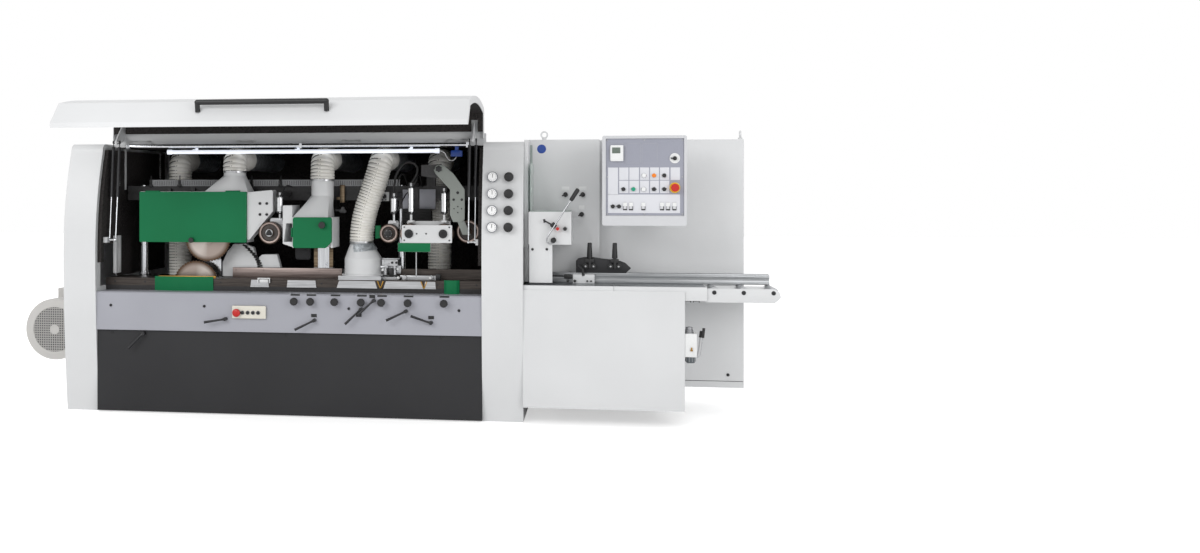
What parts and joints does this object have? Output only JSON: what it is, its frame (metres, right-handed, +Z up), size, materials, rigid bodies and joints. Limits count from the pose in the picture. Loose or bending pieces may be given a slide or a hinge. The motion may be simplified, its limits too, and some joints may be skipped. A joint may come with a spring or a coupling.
{
  "type": "four sided moulder",
  "caption": "Woodworking moulder with a lift-up guard hood, feed rollers, saw and cutter spindles, dust hoses, infeed table and control box.",
  "frame": {"origin": "centre of the main body's footprint, on the floor", "axes": "+X along the machine towards its infeed end, +Y from the operator to the rear wall, +Z up"},
  "size_m": [4.9879, 2.051, 2.0193],
  "materials": {
    "cast_bed": "painted cast iron",
    "housing_paint": "satin light grey powder coat",
    "apron_paint": "satin blue grey paint",
    "black_paint": "satin black paint",
    "acoustic_foam": "dull black foam",
    "ground_iron": "ground cast iron",
    "bright_steel": "brushed steel",
    "hose_plastic": "translucent ribbed hose",
    "galvanised": "galvanised sheet",
    "chromed": "bright chrome",
    "lamp_plastic": "frosted lamp tube",
    "guard_green": "satin green powder coat",
    "bronze_steel": "worn guide steel",
    "clear_plastic": "clear sheet",
    "control_paint": "satin pale blue grey",
    "black_plastic": "matt black plastic",
    "motor_paint": "satin dark grey paint",
    "blade_steel": "ground blade steel",
    "aluminium": "mill finish aluminium",
    "arm_paint": "satin grey green paint",
    "red_plastic": "glossy red plastic"
  },
  "bodies": {
    "machine_frame": {"machine_bed": "cast_bed", "side_columns": "housing_paint", "front_apron": "apron_paint", "lower_front_panel": "black_paint", "rear_housing": "housing_paint", "acoustic_lining": "acoustic_foam", "work_table": "ground_iron", "side_guides": "bright_steel", "saw_unit_housing": "housing_paint", "cutter_unit_housing": "housing_paint", "side_spindle_hood": "housing_paint", "extraction_hoses": "hose_plastic", "extraction_spigots": "galvanised", "guide_columns": "chromed", "work_light": "lamp_plastic", "table_guards": "guard_green", "infeed_panel": "housing_paint", "infeed_table": "ground_iron", "infeed_fence": "bronze_steel", "clear_guard": "clear_plastic", "control_box": "control_paint", "electrical_cabinet": "housing_paint", "lubrication_unit": "housing_paint", "air_regulators": "black_plastic", "drive_motor": "motor_paint", "apron_fittings": "black_plastic"},
    "hood": {"hood_shell": "housing_paint", "hood_lining": "acoustic_foam", "hood_handle": "black_plastic"},
    "strut_rods_left_body": {"strut_rods_left": "chromed"},
    "strut_cylinders_left_body": {"strut_cylinders_left": "black_paint"},
    "strut_rods_right_body": {"strut_rods_right": "chromed"},
    "strut_cylinders_right_body": {"strut_cylinders_right": "black_paint"},
    "saw_guard_body": {"saw_guard": "guard_green"},
    "cutter_guard_body": {"cutter_guard": "guard_green"},
    "upper_saw_body": {"upper_saw": "blade_steel"},
    "lower_saw_body": {"lower_saw": "blade_steel"},
    "top_cutter_body": {"top_cutter": "bright_steel"},
    "feed_beam_body": {"feed_beam": "aluminium"},
    "outfeed_roller_arm_body": {"outfeed_roller_arm": "bright_steel"},
    "middle_roller_arm_body": {"middle_roller_arm": "bright_steel"},
    "twin_roller_carrier_body": {"twin_roller_carrier": "housing_paint"},
    "infeed_roller_arm_body": {"infeed_roller_arm": "arm_paint"},
    "outfeed_roller_body": {"outfeed_roller": "bronze_steel"},
    "middle_roller_body": {"middle_roller": "bronze_steel"},
    "carrier_roller_left_body": {"carrier_roller_left": "bronze_steel"},
    "carrier_roller_right_body": {"carrier_roller_right": "bronze_steel"},
    "infeed_roller_body": {"infeed_roller": "bronze_steel"},
    "table_lever_body": {"table_lever": "black_paint"},
    "emergency_stop_body": {"emergency_stop": "red_plastic"},
    "clamp_lever_1_body": {"clamp_lever_1": "black_paint"},
    "clamp_lever_2_body": {"clamp_lever_2": "black_paint"},
    "clamp_lever_3_body": {"clamp_lever_3": "black_paint"},
    "clamp_lever_4_body": {"clamp_lever_4": "black_paint"},
    "clamp_lever_5_body": {"clamp_lever_5": "black_paint"},
    "clamp_lever_6_body": {"clamp_lever_6": "black_paint"},
    "clamp_lever_7_body": {"clamp_lever_7": "black_paint"},
    "extension_roller_1_body": {"extension_roller_1": "bright_steel"},
    "extension_roller_2_body": {"extension_roller_2": "bright_steel"},
    "extension_roller_3_body": {"extension_roller_3": "bright_steel"}
  },
  "joints": [
    {"name": "hood_hinge", "type": "hinge", "parent": "machine_frame", "child": "hood", "pos_m": [0, -0.36, 1.765], "axis": [1, 0, 0], "range_deg": [0, 83]},
    {"name": "strut_rod_pivot_left", "type": "hinge", "parent": "machine_frame", "child": "strut_rods_left_body", "pos_m": [0, -0.555, 1.12], "axis": [1, 0, 0], "range_deg": [-14, 0.5]},
    {"name": "strut_stroke_left", "type": "slide", "parent": "strut_rods_left_body", "child": "strut_cylinders_left_body", "axis": [0, 0.1074, 0.9942], "range_m": [-0.1043, 0.001]},
    {"name": "strut_rod_pivot_right", "type": "hinge", "parent": "machine_frame", "child": "strut_rods_right_body", "pos_m": [0, -0.555, 1.12], "axis": [1, 0, 0], "range_deg": [-14, 0.5]},
    {"name": "strut_stroke_right", "type": "slide", "parent": "strut_rods_right_body", "child": "strut_cylinders_right_body", "axis": [0, 0.1074, 0.9942], "range_m": [-0.1043, 0.001]},
    {"name": "saw_guard_hinge", "type": "hinge", "parent": "machine_frame", "child": "saw_guard_body", "pos_m": [-0.683, -0.476, 1.442], "axis": [1, 0, 0], "range_deg": [-75, 0]},
    {"name": "cutter_guard_hinge", "type": "hinge", "parent": "machine_frame", "child": "cutter_guard_body", "pos_m": [0.001, -0.524, 1.174], "axis": [0, 0, 1], "range_deg": [-110, 0]},
    {"name": "upper_saw_spin", "type": "hinge", "parent": "machine_frame", "child": "upper_saw_body", "pos_m": [-0.604, -0.28, 1.13], "axis": [0, 1, 0], "continuous": true},
    {"name": "lower_saw_spin", "type": "hinge", "parent": "machine_frame", "child": "lower_saw_body", "pos_m": [-0.697, -0.18, 0.821], "axis": [0, 1, 0], "continuous": true},
    {"name": "top_cutter_spin", "type": "hinge", "parent": "machine_frame", "child": "top_cutter_body", "pos_m": [0.138, -0.28, 1.15], "axis": [0, 1, 0], "continuous": true},
    {"name": "beam_height", "type": "slide", "parent": "machine_frame", "child": "feed_beam_body", "axis": [0, 0, 1], "range_m": [-0.12, 0]},
    {"name": "outfeed_pressure", "type": "slide", "parent": "feed_beam_body", "child": "outfeed_roller_arm_body", "axis": [0, 0, 1], "range_m": [0, 0.01]},
    {"name": "middle_pressure", "type": "slide", "parent": "feed_beam_body", "child": "middle_roller_arm_body", "axis": [0, 0, 1], "range_m": [0, 0.01]},
    {"name": "carrier_pressure", "type": "slide", "parent": "feed_beam_body", "child": "twin_roller_carrier_body", "axis": [0, 0, 1], "range_m": [0, 0.01]},
    {"name": "infeed_arm_pivot", "type": "hinge", "parent": "feed_beam_body", "child": "infeed_roller_arm_body", "pos_m": [0.961, -0.498, 1.584], "axis": [0, 1, 0], "range_deg": [-1, 3]},
    {"name": "outfeed_roller_spin", "type": "hinge", "parent": "outfeed_roller_arm_body", "child": "outfeed_roller_body", "pos_m": [-0.154, -0.473, 1.17], "axis": [0, 1, 0], "continuous": true},
    {"name": "middle_roller_spin", "type": "hinge", "parent": "middle_roller_arm_body", "child": "middle_roller_body", "pos_m": [0.635, -0.473, 1.17], "axis": [0, 1, 0], "continuous": true},
    {"name": "carrier_roller_left_spin", "type": "hinge", "parent": "twin_roller_carrier_body", "child": "carrier_roller_left_body", "pos_m": [0.771, -0.473, 1.17], "axis": [0, 1, 0], "continuous": true},
    {"name": "carrier_roller_right_spin", "type": "hinge", "parent": "twin_roller_carrier_body", "child": "carrier_roller_right_body", "pos_m": [0.991, -0.473, 1.17], "axis": [0, 1, 0], "continuous": true},
    {"name": "infeed_roller_spin", "type": "hinge", "parent": "infeed_roller_arm_body", "child": "infeed_roller_body", "pos_m": [1.138, -0.387, 1.182], "axis": [0, 1, 0], "continuous": true},
    {"name": "clamp_lever_1_turn", "type": "hinge", "parent": "machine_frame", "child": "clamp_lever_1_body", "pos_m": [0.181, -0.655, 0.62], "axis": [0, 1, 0], "range_deg": [-50, 50]},
    {"name": "clamp_lever_2_turn", "type": "hinge", "parent": "machine_frame", "child": "clamp_lever_2_body", "pos_m": [0.483, -0.655, 0.695], "axis": [0, 1, 0], "range_deg": [0, 45]},
    {"name": "clamp_lever_3_turn", "type": "hinge", "parent": "machine_frame", "child": "clamp_lever_3_body", "pos_m": [0.566, -0.655, 0.751], "axis": [0, 1, 0], "range_deg": [-75, 0]},
    {"name": "clamp_lever_4_turn", "type": "hinge", "parent": "machine_frame", "child": "clamp_lever_4_body", "pos_m": [0.771, -0.655, 0.687], "axis": [0, 1, 0], "range_deg": [-80, 25]},
    {"name": "clamp_lever_5_turn", "type": "hinge", "parent": "machine_frame", "child": "clamp_lever_5_body", "pos_m": [0.931, -0.655, 0.617], "axis": [0, 1, 0], "range_deg": [-55, 35]},
    {"name": "clamp_lever_6_turn", "type": "hinge", "parent": "machine_frame", "child": "clamp_lever_6_body", "pos_m": [-0.405, -0.655, 0.62], "axis": [0, 1, 0], "range_deg": [-60, 38]},
    {"name": "clamp_lever_7_turn", "type": "hinge", "parent": "machine_frame", "child": "clamp_lever_7_body", "pos_m": [-0.962, -0.64, 0.516], "axis": [0, 1, 0], "range_deg": [-60, 30]},
    {"name": "extension_roller_1_spin", "type": "hinge", "parent": "machine_frame", "child": "extension_roller_1_body", "pos_m": [2.664, -0.49, 0.826], "axis": [0, 1, 0], "continuous": true},
    {"name": "extension_roller_2_spin", "type": "hinge", "parent": "machine_frame", "child": "extension_roller_2_body", "pos_m": [2.8385, -0.49, 0.826], "axis": [0, 1, 0], "continuous": true},
    {"name": "extension_roller_3_spin", "type": "hinge", "parent": "machine_frame", "child": "extension_roller_3_body", "pos_m": [3.013, -0.49, 0.826], "axis": [0, 1, 0], "continuous": true},
    {"name": "table_lever_turn", "type": "hinge", "parent": "machine_frame", "child": "table_lever_body", "pos_m": [1.692, -0.6, 1.137], "axis": [0, 1, 0], "range_deg": [-25, 20]},
    {"name": "emergency_stop_press", "type": "slide", "parent": "machine_frame", "child": "emergency_stop_body", "axis": [0, 1, 0], "range_m": [0, 0.008]}
  ],
  "couplings": [
    {"joint": "strut_rod_pivot_left", "follows": "hood_hinge", "ratio": -0.15142},
    {"joint": "strut_stroke_left", "follows": "hood_hinge", "m_per_rad": -0.06994},
    {"joint": "strut_rod_pivot_right", "follows": "hood_hinge", "ratio": -0.15142},
    {"joint": "strut_stroke_right", "follows": "hood_hinge", "m_per_rad": -0.06994},
    {"joint": "middle_roller_spin", "follows": "outfeed_roller_spin", "ratio": 1.2167},
    {"joint": "carrier_roller_left_spin", "follows": "outfeed_roller_spin", "ratio": 1.1406},
    {"joint": "carrier_roller_right_spin", "follows": "outfeed_roller_spin", "ratio": 1.1406},
    {"joint": "infeed_roller_spin", "follows": "outfeed_roller_spin", "ratio": 0.98649}
  ]
}
